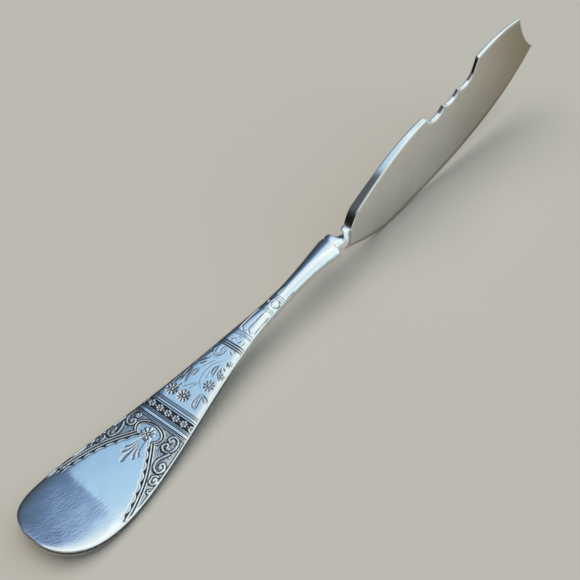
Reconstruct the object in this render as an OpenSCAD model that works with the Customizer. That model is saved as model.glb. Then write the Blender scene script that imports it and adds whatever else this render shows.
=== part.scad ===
// Twist butter knife: a flat handle, a neck turned a quarter turn, and a blade that stands on its edge.
// Lengths are in millimetres. While a piece is drawn, x runs from the handle's tip to the blade's point,
// y runs across the handle, and z runs up from the table that the knife rests on.

/* [Handle] */
// Length of the handle, from its tip to the end of its shoulder
handle_length = 90.8; // [84:0.2:100]
// Greatest width of the handle, near its tip
handle_width = 19.5; // [16:0.1:22]
// Width of the handle at its waist, where it is narrowest
waist_width = 4.1; // [3.8:0.1:5]
// Width of the handle at its shoulder
shoulder_width = 6.7; // [6.4:0.1:8]
// Thickness of the handle at its tip
tip_thickness = 2.1; // [1.8:0.1:2.4]
// Thickness of the flat part of the handle
plate_thickness = 2.2; // [2:0.1:2.6]
// Thickness of the rounded shank behind the shoulder
shank_thickness = 3; // [2.9:0.1:3.6]
// Height that the handle's tip curls up from the table
tip_curl = 3.6; // [1:0.1:4.5]
// Height of the middle of the shank above the table, at the waist
waist_height = 7.7; // [6.8:0.1:8.6]
// Height of the middle of the shank above the table, at the shoulder
shoulder_height = 9.8; // [9:0.1:11]

/* [Twisted neck] */
// Length of the neck, from the shoulder to the root of the blade
neck_length = 6; // [5.8:0.1:10]
// Width of the neck where it leaves the shoulder
neck_width = 5.1; // [4.8:0.1:5.6]
// Height of the neck where it meets the blade
neck_height = 5.8; // [5.4:0.1:6.2]
// Thickness of the neck
neck_thickness = 2.7; // [2.5:0.1:2.9]

/* [Blade] */
// Length of the blade, from its root to its point
blade_length = 88.2; // [80:0.2:95]
// Thickness of the spine at the root of the blade
spine_thickness = 2.9; // [2.5:0.1:3.2]
// Thickness of the spine at the blade's point
point_thickness = 0.6; // [0.5:0.1:1]
// Thickness of the blunt lower edge
edge_thickness = 0.7; // [0.5:0.1:1]
// Height of the first part of the spine above the table, at its end
peak_height = 24.9; // [24:0.1:25.6]
// Height of the last part of the spine above the table, at its end
corner_height = 31.6; // [31:0.1:33]
// Height of the blade's point above the table
point_height = 18.2; // [15:0.1:21]
// Radius of the scallops in the spine
scallop_radius = 5.4; // [5:0.1:6]
// Number of scallops in the spine
scallop_count = 3; // [2:1:3]

/* [Soldered joints] */
// Length of the neck's tang inside the handle
tang_length = 5; // [3:0.5:6]
// Length of the blade's tongue inside the neck
tongue_length = 1.5; // [1:0.1:1.8]
// Thickness of the solder round the tang and the tongue
solder_film = 0.1; // [0.05:0.01:0.15]

/* [Hidden] */

// Places along the knife
shoulder_round = 1.2;
widest_x = 0.1495 * handle_length;
rest_x = 0.177 * handle_length;
plate_x = 0.31 * handle_length;
plate_end_x = 0.429 * handle_length;
rise_x = 0.728 * handle_length;
waist_x = 0.807 * handle_length;
neck_x = handle_length;
shoulder_x = neck_x - shoulder_round;
blade_x = neck_x + neck_length;
overall_length = blade_x + blade_length;

// The handle: its rim is rounded over at the tip, and its underside is worn flat where it rests
tip_fullness = 2.6;
tip_flat = 4;
tip_edge = 0.4;
thinnest_rim = 0.8;
plate_squareness = 8;
shank_squareness = 2.4;
taper_power = 0.82;
worn_depth = 0.1;
shoulder_rings = 6;
tip_rings = 12;
body_rings = 36;
ring_points = 28;

// The neck: it turns the handle's right edge up to become the spine, from a little past the shoulder on
twist_start = 0.3;
twist_power = 1.3;
neck_squareness = 6;
neck_pinch = 0.2;
neck_rings = 20;
root_mid_z = 8.8;

// The blade: where its curves begin and end, and how far they bow
root_low = [blade_x, root_mid_z - neck_height / 2];
root_high = [blade_x, root_mid_z + neck_height / 2];
heel = root_high + [2.7, 3.95];
touch = [blade_x + 0.205 * blade_length, 0];
point = [blade_x + blade_length, point_height];
corner = [blade_x + 0.865 * blade_length, corner_height];
riser = [blade_x + 0.619 * blade_length, corner_height - 1.2];
end_hollow = 1.1;
crest_bow = 1;
curve_steps = 14;
blank_rings = 24;
blank_margin = 3;
root_edge_thickness = 2;
spine_taper_power = 0.6;

// The scallops: arcs about centres on a rising line, the first of which starts at the spine's peak
scallop_start = [blade_x + 0.406 * blade_length, peak_height + 2.6];
scallop_pitch = [0.0748 * blade_length, 1.27];
scallop_lean = atan2(scallop_pitch.y, scallop_pitch.x);
scallop_opening = acos(norm(scallop_pitch) / 2 / scallop_radius);
peak_angle = 180 + asin((scallop_start.y - peak_height) / scallop_radius);
peak = scallop_start + scallop_radius * [cos(peak_angle), sin(peak_angle)];

// The joints: the tang lies flat in the handle, and the tongue stands upright in the neck
tang_size = [tang_length, 2.6, 1.5];
tongue_size = [tongue_length, 0.9, 1.8];

silver = [0.8, 0.81, 0.83];
solder_grey = [0.66, 0.66, 0.64];

// Blends
function mix(a, b, t) = a + (b - a) * t;
function share(x, from, to) = min(1, max(0, (x - from) / (to - from)));
function ease(t) = t * t * (3 - 2 * t);
function signed_power(v, p) = sign(v) * pow(abs(v), p);

// Points on a cubic curve, without its last point
function curve(a, b, c, d) = [
    for (k = [0 : curve_steps - 1])
        let (t = k / curve_steps, u = 1 - t)
            u * u * u * a + 3 * u * u * t * b + 3 * u * t * t * c + t * t * t * d
];

// Points on a shallow bow from a to d, which stands to the right of the way from a to d
function bow(a, d, height) =
    let (along = (d - a) / norm(d - a), out = [along.y, -along.x] * height * 4 / 3)
        curve(a, mix(a, d, 1 / 3) + out, mix(a, d, 2 / 3) + out, d);

// Points on scallop k from its far cusp to its near one, without the near one
function scallop(k) =
    let (
        far = 360 + scallop_lean - scallop_opening,
        near = k == 0 ? peak_angle : 180 + scallop_lean + scallop_opening
    ) [
        for (j = [0 : curve_steps - 1])
            let (a = mix(far, near, j / curve_steps))
                scallop_start + k * scallop_pitch + scallop_radius * [cos(a), sin(a)]
    ];

// One closed section across the knife, from flat and square to round, turned about the knife's length
function section(x, half_width, half_thickness, squareness, turn, mid_z) = [
    for (k = [0 : ring_points - 1])
        let (
            a = 360 * k / ring_points,
            across = half_width * signed_power(cos(a), 2 / squareness),
            up = half_thickness * signed_power(sin(a), 2 / squareness)
        )
            [x, across * cos(turn) - up * sin(turn), mid_z + across * sin(turn) + up * cos(turn)]
];

// Outline, height and thickness of the handle along its length
function tip_half_width(x) =
    max(tip_flat, handle_width * pow(1 - pow(1 - x / widest_x, tip_fullness), 1 / tip_fullness)) / 2;
function body_half_width(x) =
    mix(handle_width, waist_width, ease(pow(share(x, widest_x, waist_x), taper_power))) / 2;
function flare_half_width(x) =
    mix(waist_width, shoulder_width, pow(share(x, waist_x, shoulder_x), 2)) / 2;
function handle_half_width(x) =
    x < widest_x ? tip_half_width(x) : x < waist_x ? body_half_width(x) : flare_half_width(x);
function tip_rounding(x) =
    x < tip_edge ? max(thinnest_rim, sqrt(1 - pow(1 - x / tip_edge, 2))) : 1;
function handle_half_thickness(x) =
    x < plate_x
        ? mix(tip_thickness, plate_thickness, ease(share(x, 0, plate_x))) / 2 * tip_rounding(x)
        : mix(plate_thickness, shank_thickness, ease(share(x, plate_end_x, waist_x))) / 2;
function handle_squareness(x) =
    mix(plate_squareness, shank_squareness, ease(share(x, plate_end_x, waist_x)));
function rest_mid_z() = handle_half_thickness(rest_x) - worn_depth;
function handle_mid_z(x) =
    x < rest_x
        ? rest_mid_z() + tip_curl * pow(1 - x / rest_x, 2)
        : mix(rest_mid_z(), waist_height, ease(share(x, rest_x, waist_x)))
            + (shoulder_height - waist_height) * ease(share(x, rise_x, shoulder_x));
function handle_ring(x) =
    section(
        x, handle_half_width(x), handle_half_thickness(x), handle_squareness(x), 0, handle_mid_z(x)
    );

// The shoulder rounds over to the neck's first section: a runs from 0 to 90
function shoulder_ring(a) =
    section(
        shoulder_x + shoulder_round * sin(a),
        mix(neck_width, shoulder_width, cos(a)) / 2, mix(neck_thickness, shank_thickness, cos(a)) / 2,
        mix(neck_squareness, shank_squareness, cos(a)), 0, shoulder_height
    );

// Section of the neck at t, from 0 at the shoulder to 1 at the blade
function neck_ring(t) =
    section(
        neck_x + t * neck_length,
        mix(neck_width, neck_height, ease(t)) / 2 - neck_pinch * sin(180 * t), neck_thickness / 2,
        neck_squareness, -90 * pow(share(t, twist_start, 1), twist_power),
        mix(shoulder_height, root_mid_z, sin(90 * t))
    );

// Thickness of the blade, which tapers from its spine to its edge, and its blank with some to spare at both
function spine_at(x) =
    mix(spine_thickness, point_thickness, pow(share(x, blade_x, point.x), spine_taper_power));
function edge_at(x) = mix(root_edge_thickness, edge_thickness, ease(share(x, blade_x, touch.x)));
function spine_z(x) = mix(heel.y, corner.y, pow(share(x, heel.x, corner.x), 0.6));
function edge_z(x) = mix(0, point.y, pow(share(x, touch.x, point.x), 2));
function blade_half_thickness(x, z) =
    mix(edge_at(x), spine_at(x), (z - edge_z(x)) / (spine_z(x) - edge_z(x))) / 2;
function blank_ring(x) =
    let (
        low = edge_z(x) - blank_margin,
        high = spine_z(x) + blank_margin,
        half_low = blade_half_thickness(x, low),
        half_high = blade_half_thickness(x, high)
    )
        [[x, half_low, low], [x, half_high, high], [x, -half_high, high], [x, -half_low, low]];

// Solid through a row of sections that all have the same number of points
module loft(rings) {
    sides = len(rings[0]);
    last = len(rings) - 1;
    polyhedron(
        points = [for (ring = rings) each ring],
        faces = concat(
            [[for (k = [0 : sides - 1]) k]],
            [
                for (r = [0 : last - 1], k = [0 : sides - 1])
                    let (a = r * sides + k, b = r * sides + (k + 1) % sides)
                        each [[a, a + sides, b], [b, a + sides, b + sides]]
            ],
            [[for (k = [sides - 1 : -1 : 0]) last * sides + k]]
        )
    );
}

// Box whose face at x is square to the knife's length and whose middle is at mid_z
module box(x, size, mid_z) {
    translate([x, -size.y / 2, mid_z - size.z / 2])
        cube(size);
}

// The joint's solid, with the solder's thickness added on every side but the open one
module tang(film = 0) {
    box(neck_x - tang_size.x - film, tang_size + [film, 2 * film, 2 * film], shoulder_height);
}

module tongue(film = 0) {
    box(blade_x - tongue_size.x - film, tongue_size + [film, 2 * film, 2 * film], root_mid_z);
}

// Side view of the blade: edge, hollow end, bowed crest, riser, scallops, and the spine down to the root
module blade_outline() {
    polygon(concat(
        curve(root_low, root_low + [5.2, -1.9], touch - [7.5, -0.75], touch),
        curve(touch, [blade_x + 0.634 * blade_length, 1.1], [blade_x + 0.863 * blade_length, 7.2], point),
        bow(point, corner, -end_hollow),
        bow(corner, riser, crest_bow),
        [riser],
        [for (k = [scallop_count - 1 : -1 : 0]) each scallop(k)],
        curve(peak, peak - [9, 0.2], heel + [8, 4.35], heel),
        curve(heel, heel - [1.2, 0.65], root_high + [0.75, 1.7], root_high),
        [root_high]
    ));
}

// The pieces, each drawn in its place on the knife
module handle() {
    color(silver) on_table()
        difference() {
            loft(concat(
                [for (k = [0 : tip_rings - 1]) handle_ring(widest_x * (1 - cos(90 * k / tip_rings)))],
                [for (k = [0 : body_rings - 1]) handle_ring(mix(widest_x, shoulder_x, k / body_rings))],
                [for (k = [0 : shoulder_rings]) shoulder_ring(90 * k / shoulder_rings)]
            ));
            translate([0, -handle_width, -handle_width])
                cube([handle_length, 2 * handle_width, handle_width]);
            tang(solder_film);
        }
}

module twisted_neck() {
    color(silver) on_table()
        difference() {
            union() {
                loft([for (k = [0 : neck_rings]) neck_ring(k / neck_rings)]);
                tang();
            }
            tongue(solder_film);
        }
}

module blade() {
    color(silver) on_table()
        union() {
            intersection() {
                loft([for (k = [0 : blank_rings]) blank_ring(mix(blade_x, point.x, k / blank_rings))]);
                rotate([90, 0, 0])
                    linear_extrude(2 * spine_thickness, center = true)
                        blade_outline();
            }
            tongue();
        }
}

module handle_solder() {
    color(solder_grey) on_table()
        difference() {
            tang(solder_film);
            tang();
        }
}

module blade_solder() {
    color(solder_grey) on_table()
        difference() {
            tongue(solder_film);
            tongue();
        }
}

// Moves the knife so that its middle is over the origin
module on_table() {
    translate([-overall_length / 2, 0, 0])
        children();
}

handle();
twisted_neck();
blade();
handle_solder();
blade_solder();
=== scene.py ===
# Looks of the twist butter knife: a silver handle with a struck pattern, a twisted neck and a
# polished blade. The pieces are drawn in millimetres, with x from the handle's tip to the blade's
# point, y across the handle and z up from the table. They are then moved into the frame of the
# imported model, which is in metres.
import math

import bpy
import numpy as np
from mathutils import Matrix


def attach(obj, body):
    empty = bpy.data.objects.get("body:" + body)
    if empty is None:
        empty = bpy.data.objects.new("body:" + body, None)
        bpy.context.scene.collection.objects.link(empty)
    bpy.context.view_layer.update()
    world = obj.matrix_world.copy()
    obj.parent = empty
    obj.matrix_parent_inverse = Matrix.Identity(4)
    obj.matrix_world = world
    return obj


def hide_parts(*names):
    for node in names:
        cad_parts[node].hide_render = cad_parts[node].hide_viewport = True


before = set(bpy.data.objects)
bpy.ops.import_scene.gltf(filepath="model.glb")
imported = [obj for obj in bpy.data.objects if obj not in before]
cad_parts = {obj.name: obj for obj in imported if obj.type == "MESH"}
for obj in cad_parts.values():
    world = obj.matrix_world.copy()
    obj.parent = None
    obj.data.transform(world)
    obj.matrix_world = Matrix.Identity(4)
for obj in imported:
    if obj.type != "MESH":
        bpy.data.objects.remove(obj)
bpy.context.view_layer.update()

# Driving dimensions, the same as those of the solids
MM = 0.001
handle_length = 90.8
handle_width = 19.5
waist_width = 4.1
shoulder_width = 6.7
tip_thickness = 2.1
plate_thickness = 2.2
shank_thickness = 3.0
tip_curl = 3.6
waist_height = 7.7
shoulder_height = 9.8
neck_length = 6.0
neck_width = 5.1
neck_height = 5.8
neck_thickness = 2.7
blade_length = 88.2
spine_thickness = 2.9
point_thickness = 0.6
edge_thickness = 0.7
peak_height = 24.9
corner_height = 31.6
point_height = 18.2
scallop_radius = 5.4
scallop_count = 3

# Places along the knife
shoulder_round = 1.2
widest_x = 0.1495 * handle_length
rest_x = 0.177 * handle_length
plate_x = 0.31 * handle_length
plate_end_x = 0.429 * handle_length
rise_x = 0.728 * handle_length
waist_x = 0.807 * handle_length
neck_x = handle_length
shoulder_x = neck_x - shoulder_round
blade_x = neck_x + neck_length
root_mid_z = 8.8
point_x = blade_x + blade_length
overall_length = point_x


# Blends and curves, on numbers and on arrays alike
tiny = 1e-9


def mix(a, b, t):
    return a + (b - a) * t


def share(x, start, end):
    return np.clip((x - start) / (end - start), 0, 1)


def ease(t):
    return t * t * (3 - 2 * t)


def fade(x, start, end):
    """1 up to start and 0 from end on, with a smooth change between."""
    return 1 - ease(share(x, start, end))


def dome(away):
    """Height of a round dome, 1 in its middle and 0 from a distance of 1 on."""
    return np.sqrt(1 - np.minimum(1, np.abs(away)) ** 2)


def signed_power(v, p):
    return np.sign(v) * np.abs(v) ** p


def on_circle(angles):
    """Places on a circle of radius 1."""
    return np.column_stack([np.cos(angles), np.sin(angles)])


def ways_round(count, turn=0.0):
    """Evenly spaced directions, all the way round."""
    return on_circle(turn + 2 * math.pi * np.arange(count) / count)


def to_right(path):
    """The direction to the right at each point of a path."""
    along = np.gradient(path, axis=0)
    along /= np.maximum(np.linalg.norm(along, axis=1)[:, None], tiny)
    return np.column_stack([along[:, 1], -along[:, 0]])


def bezier(a, b, c, d, steps):
    """Points on a cubic curve, both ends included."""
    t = np.linspace(0, 1, steps + 1)[:, None]
    u = 1 - t
    a, b, c, d = (np.array(p, float) for p in (a, b, c, d))
    return u**3 * a + 3 * u**2 * t * b + 3 * u * t**2 * c + t**3 * d


def bow(a, d, height, steps):
    """Points on a shallow bow that stands to the right of the way from a to d."""
    a, d = np.array(a, float), np.array(d, float)
    along = (d - a) / np.linalg.norm(d - a)
    out = np.array([along[1], -along[0]]) * height * 4 / 3
    return bezier(a, mix(a, d, 1 / 3) + out, mix(a, d, 2 / 3) + out, d, steps)


def smooth(points):
    """Points on a smooth curve through the given ones."""
    steps = 8
    p = np.array(points, float)
    p = np.vstack([2 * p[0] - p[1], p, 2 * p[-1] - p[-2]])
    t = np.linspace(0, 1, steps, endpoint=False)[:, None]
    spans = [
        b + 0.5 * t * (c - a + t * (2 * a - 5 * b + 4 * c - d + t * (3 * (b - c) + d - a)))
        for a, b, c, d in zip(p, p[1:], p[2:], p[3:])
    ]
    return np.vstack(spans + [p[-2:-1]])


# Form of the handle along its length
tip_fullness = 2.6
taper_power = 0.82
plate_squareness = 8
shank_squareness = 2.4
neck_squareness = 6
worn_depth = 0.1
# The neck leaves the shoulder flush with its left side
neck_aside = (shoulder_width - neck_width) / 2


def shoulder_roundness(x):
    """1 along the handle, falling to 0 where the shoulder meets the neck."""
    return np.sqrt(1 - share(x, shoulder_x, neck_x) ** 2)


def handle_half_width(x):
    tip_round = 1 - (1 - np.minimum(x, widest_x) / widest_x) ** tip_fullness
    tip = handle_width * tip_round ** (1 / tip_fullness)
    body = mix(handle_width, waist_width, ease(share(x, widest_x, waist_x) ** taper_power))
    flare = mix(waist_width, shoulder_width, share(x, waist_x, shoulder_x) ** 2)
    width = np.where(x < widest_x, tip, np.where(x < waist_x, body, flare))
    return mix(neck_width, width, shoulder_roundness(x)) / 2


def tip_rim(x):
    """0 at the very tip, rising to 1 within a millimetre or two, to round the rim over there."""
    return (1 - (1 - share(x, 0, handle_width / 2)) ** plate_squareness) ** (1 / plate_squareness)


def handle_half_thickness(x):
    tip = mix(tip_thickness, plate_thickness, ease(share(x, 0, plate_x)))
    shank = mix(plate_thickness, shank_thickness, ease(share(x, plate_end_x, waist_x)))
    thickness = np.where(x < plate_x, tip, shank)
    return mix(neck_thickness, thickness, shoulder_roundness(x)) / 2 * tip_rim(x)


def handle_squareness(x):
    return mix(plate_squareness, shank_squareness, ease(share(x, plate_end_x, waist_x)))


def handle_mid_z(x):
    rest_z = handle_half_thickness(rest_x) - worn_depth
    curl = tip_curl * (1 - np.minimum(x, rest_x) / rest_x) ** 2
    rise = mix(rest_z, waist_height, ease(share(x, rest_x, waist_x)))
    return rise + curl + (shoulder_height - waist_height) * ease(share(x, rise_x, shoulder_x))


# The struck pattern. Its places are x along the handle, from a line just inside the tip, and either
# y across the handle or the distance from the pattern's own axis. Tarnish runs from 0 to 1.
pattern_origin_x = 1.0
axis_y = 0.55
left_squeeze = 0.0017
line_top = 0.07
cut_depth = 0.1
ground_depth = 0.16
wall_run = 0.1
tarnish_reach = 0.16
everywhere = np.s_[:]


class Pattern:
    """Heights of the struck pattern over the handle's face, with its tarnish and its punched ground."""

    def __init__(self, x, y):
        self.x = x
        self.y = y
        self.height = np.zeros_like(x)
        self.tarnish_and_shade = np.zeros_like(x)
        self.punched = np.zeros_like(x)

    def away_from(self, centre):
        """The distance of each place from a centre."""
        return np.hypot(self.x - centre[0], self.y - centre[1])

    def measure(self, path, reach):
        """The places within reach of a path: their distance from it and how far along it they lie, 0 to 1.
        The distance is below 0 to the left of the path."""
        low, high = path.min(0) - reach, path.max(0) + reach
        near = (self.x > low[0]) & (self.x < high[0]) & (self.y > low[1]) & (self.y < high[1])
        px, py = self.x[near], self.y[near]
        best, signed, along = (np.full(px.shape, value) for value in (np.inf, np.inf, 0.0))
        lengths = np.linalg.norm(np.diff(path, axis=0), axis=1)
        starts = np.concatenate([[0], np.cumsum(lengths)])
        for (ax, ay), (bx, by), length, start in zip(path, path[1:], lengths, starts):
            dx, dy = (bx - ax) / length, (by - ay) / length
            t = np.clip((px - ax) * dx + (py - ay) * dy, 0, length)
            ox, oy = px - ax - t * dx, py - ay - t * dy
            away = np.hypot(ox, oy)
            closer = away < best
            best = np.where(closer, away, best)
            signed = np.where(closer, np.where(dx * oy - dy * ox > 0, -away, away), signed)
            along = np.where(closer, (start + t) / starts[-1], along)
        return near, signed, along

    def sink(self, depth, amount, tarnish_and_shade, near=everywhere):
        """Lowers the face where amount is 1, and tarnishes it."""
        self.height[near] = np.minimum(self.height[near], -depth * amount)
        self.tarnish_and_shade[near] = np.maximum(self.tarnish_and_shade[near], tarnish_and_shade * amount)

    def lift(self, top, amount, near=everywhere):
        """Raises the face to the top where amount is 1, and wipes the tarnish off it."""
        self.height[near] = np.maximum(self.height[near], mix(self.height[near], top, amount))
        self.tarnish_and_shade[near] *= 1 - amount

    def line(self, path, width, top=line_top, tarnish_and_shade=0.8, reach=tarnish_reach):
        """A raised round line, with tarnish along both its sides."""
        near, away, _ = self.measure(path, width + reach)
        away = np.abs(away)
        half_width = width / 2
        self.lift(top, dome(away / half_width), near)
        beside = ease(share(away, 0.7 * half_width, half_width))
        beside *= fade(away, half_width, half_width + reach)
        self.tarnish_and_shade[near] = np.maximum(self.tarnish_and_shade[near], tarnish_and_shade * beside)

    def cut(self, path, width, depth=cut_depth, tarnish_and_shade=0.7):
        """An engraved line, which thins out at both ends."""
        end_width, end_slope = 0.35, 4
        near, away, along = self.measure(path, width)
        taper = np.minimum(1, end_width + end_slope * np.minimum(along, 1 - along))
        groove = taper * fade(np.abs(away), 0.1 * width * taper, 0.5 * width * taper)
        self.sink(depth, groove, tarnish_and_shade, near)

    def bead(self, centre, radius, top=line_top):
        """A raised round dot."""
        self.lift(top, dome(self.away_from(centre) / radius))

    def leaf(self, path, root_width, tip_width, depth, tarnish_and_shade):
        """A long sunk leaf, from its narrow root to its round tip."""
        swelling = 1.6
        near, away, along = self.measure(path, tip_width)
        inside = mix(root_width, tip_width, along**swelling) / 2 - np.abs(away)
        self.sink(depth, ease(share(inside, 0, wall_run)), tarnish_and_shade, near)

    def daisy(self, centre, radius, petals, turn, ground=0.3, fullness=1.0):
        """A flower of long petals round a bead, on a sunk round ground."""
        petal_ends = radius * np.array([0.34, 0.8])[:, None]
        petal_pitch = radius / petals
        # The distance from the centre, in radii of the flower
        away = self.away_from(centre) / radius
        self.sink(0.8 * cut_depth, fade(away, 0.6, 1.05), ground)
        self.sink(cut_depth, fade(away, 0.35, 0.75), 0.8)
        for way in ways_round(petals, turn):
            near, aside, along = self.measure(centre + petal_ends * way, radius)
            half_width = fullness * petal_pitch * mix(0.9, 1.75, along)
            self.lift(line_top, dome(aside / half_width), near)
        self.sink(cut_depth, fade(away, 0.24, 0.32), 0.8)
        self.bead(centre, 0.22 * radius)

    def blossom(self, centre, radius, petals, turn):
        """An open flower drawn by the cuts between its petals and a small ring."""
        gap_ends = radius * np.array([0.4, 1.0])[:, None]
        depth = 0.25 * cut_depth
        ways = ways_round(petals, turn)
        for way in ways:
            self.cut(centre + gap_ends * way, 0.4, depth, tarnish_and_shade=0.68)
        ring = centre + 0.3 * radius * np.vstack([ways, ways[:1]])
        self.cut(ring, 0.32, depth, tarnish_and_shade=0.66)
        self.sink(0, fade(self.away_from(centre) / radius, 0.7, 1.1), tarnish_and_shade=0.29)

    def rings(self, places, depth, tarnish_and_shade):
        """Grooves straight across the handle."""
        for place in places:
            self.sink(depth, fade(np.abs(self.x - place), 0.04, 0.17), tarnish_and_shade)


def beside_axis(points, side=1, shift=(0, 0)):
    """Places in x and y, from places given by x and the distance from the pattern's axis on one side.
    The left side lies a little closer to the axis, the more so the further out."""
    places = np.array(points, float) + shift
    away = places[:, 1] * (1 - left_squeeze * places[:, 1] ** 2 * (side > 0))
    return np.column_stack([places[:, 0], axis_y + side * away])


def mirrored(points):
    """A row of places that ends on the axis, carried on to its mirror image."""
    return points + [(x, -away) for x, away in points[-2::-1]]


def draw_edging(pattern, inwards, lobes, beside):
    """The border's scalloped edging: sunk wedges between the lobes, and round each lobe a raised crescent
    and a fine outline. Lobes is 0 between two lobes and 1 in the middle of one."""
    outer = mix(0.88, 0.38, lobes)
    inner = mix(0.98, 0.72, lobes)
    crescent_top, outline_away = 0.05, 0.06
    wedge = ease(share(inwards, 0.18, 0.26)) * ease(share(outer - inwards, 0, wall_run))
    pattern.sink(0.7 * ground_depth, wedge * beside, tarnish_and_shade=0.9)
    from_middle = np.abs(2 * inwards - outer - inner) / (inner - outer)
    pattern.lift(crescent_top, fade(from_middle, 0, 1) * beside)
    outline = fade(np.abs(inwards - inner - outline_away), 0.03, 0.1)
    pattern.sink(0.3 * cut_depth, outline * beside, tarnish_and_shade=0.38)


def draw_cartouche(pattern):
    """The border lines with their edging, the arch with its daisy, and the scrolls on punched ground."""
    border = [(13.2, 9.75), (16, 8.95), (18, 8.15), (20.3, 7.15), (22.7, 5.83), (25.3, 4.1), (28.15, 2)]
    outer_arch = [
        (28.2, 2.6), (28.5, 3.1), (29.25, 3.55), (30.2, 3.55), (31, 2.85), (31.63, 1.5), (31.83, 0),
    ]
    inner_arch = [
        (28.2, 2), (28.6, 2.5), (29.15, 2.88), (30, 2.9), (30.75, 2.15), (31.18, 1), (31.28, 0),
    ]
    line_gap = 0.6
    lobe_pitch = 2.42
    lobe_fullness = 0.8
    arch_start_x = 28.2
    arch_middle_x = 29.4
    arch_squareness = 2.5
    ground_end_x = 31.95
    face_reach = 20
    far_outside = -50.0

    def within(half_length, half_width):
        """Where the arch is, for a round box of this size."""
        ahead = np.abs(pattern.x - arch_middle_x) / half_length
        aside = np.abs(pattern.y - axis_y) / half_width
        return (ahead**arch_squareness + aside**arch_squareness < 1) & (pattern.x > arch_start_x)

    in_arch = within(2.43, 3.6)
    in_field = within(1.88, 2.95)
    for side, first_lobe in ((1, 0.1), (-1, 0.62)):
        path = smooth(beside_axis(border, side))
        near, away, along = pattern.measure(path, face_reach)
        inwards = np.full_like(pattern.x, far_outside)
        inwards[near] = away * side
        length = np.linalg.norm(np.diff(path, axis=0), axis=1).sum()
        wave = np.sin(math.pi * (along * length / lobe_pitch + first_lobe))
        lobes = np.zeros_like(pattern.x)
        lobes[near] = np.abs(wave) ** lobe_fullness
        this_side = side * (pattern.y - axis_y) > 0
        beside = this_side & (pattern.x < arch_start_x)
        draw_edging(pattern, inwards, lobes, beside)

        outside = this_side & (pattern.x < ground_end_x) & ~in_arch
        ground = ease(share(-inwards - line_gap, 0.1, 0.25)) * outside
        pattern.sink(ground_depth, ground, tarnish_and_shade=0.24)
        pattern.punched = np.maximum(pattern.punched, ground)
        between_lines = beside & (inwards < 0) & (inwards > -line_gap)
        pattern.sink(0.8 * ground_depth, between_lines, tarnish_and_shade=0.9)
        for step in (0, line_gap):
            moved = path - step * side * to_right(path)
            pattern.line(moved[moved[:, 0] < arch_start_x + 0.1], width=0.4)
        draw_scrolls(pattern, side)

    pattern.sink(0.5 * cut_depth, in_field, tarnish_and_shade=0.3)
    pattern.sink(ground_depth, in_arch & ~in_field, tarnish_and_shade=0.8)
    for arch in (outer_arch, inner_arch):
        pattern.line(smooth(beside_axis(mirrored(arch))), width=0.36)
    pattern.daisy((29.17, axis_y), radius=1.5, petals=8, turn=0.2)


def draw_scrolls(pattern, side):
    """The C-scrolls that fill the ground between the border and the rim, with a bead in each curl."""
    scroll_top = 0.12
    shift = (0.35, 0) if side > 0 else (0, 0)
    pair = [
        (29.5, 5.2), (29.75, 4.7), (29.4, 4.3), (28.85, 4.25), (28.35, 4.65), (28.2, 5.35), (28.45, 6.1),
        (29.1, 6.6), (29.9, 6.75), (30.8, 6.6), (31.5, 6.05), (31.75, 5.3), (31.5, 4.6), (30.95, 4.3),
        (30.45, 4.55), (30.35, 5.05),
    ]
    large = [
        (25.6, 6.75), (26.1, 6.95), (25.95, 7.6), (25.2, 8.05), (24.4, 7.85), (24.0, 7.1), (24.2, 6.35),
        (24.8, 5.85), (25.7, 5.63), (26.7, 5.8), (27.6, 6.25), (28.3, 6.6),
    ]
    small = [
        (22.75, 7.85), (22.9, 8.25), (22.5, 8.65), (21.9, 8.6), (21.5, 8.2), (21.6, 7.65), (22.2, 7.4),
        (22.95, 7.3), (23.35, 7.75), (23.5, 8.3),
    ]
    hook = [(20.6, 8.9), (20.15, 8.6), (19.7, 8.95), (20.1, 9.2)]
    for points, width in ((pair, 0.58), (large, 0.58), (small, 0.48), (hook, 0.4)):
        path = smooth(beside_axis(points, side, shift))
        pattern.line(path, width, scroll_top, tarnish_and_shade=0.85, reach=0.36)
    bead_places = [(29.1, 5.25), (30.85, 5.1), (25.15, 7.05), (22.4, 8.05)]
    bead_radii = (0.4, 0.4, 0.45, 0.34)
    for centre, radius in zip(beside_axis(bead_places, side, shift), bead_radii):
        pattern.bead(centre, radius, scroll_top)


def draw_plume(pattern):
    """Five sunk leaves that fan out from the arch over the plain face, tied by two short cuts."""
    leaves = (
        ([(27.7, 0.3), (25.5, 0.55), (23.3, 0.8), (21.85, 0.7)], 0.85),
        ([(27.7, 0.67), (25.3, 1.12), (24.2, 1.5), (23.4, 2.05)], 0.6),
        ([(27.7, 1), (26.3, 1.42), (25.2, 1.83), (24.5, 2.35)], 0.5),
        ([(27.7, 0.1), (25.5, 0.02), (24.2, -0.25), (23.4, -0.8)], 0.6),
        ([(27.7, -0.17), (25.8, -0.42), (24.9, -0.83), (24.4, -1.35)], 0.5),
    )
    for path, tip_width in leaves:
        pattern.leaf(smooth(path), 0.24, tip_width, depth=0.03, tarnish_and_shade=0.4)
    tie_reach = 0.75
    for x in (27.72, 28.0):
        pattern.cut(np.array([(x, axis_y - tie_reach), (x, axis_y + tie_reach)]), width=0.22)


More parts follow.
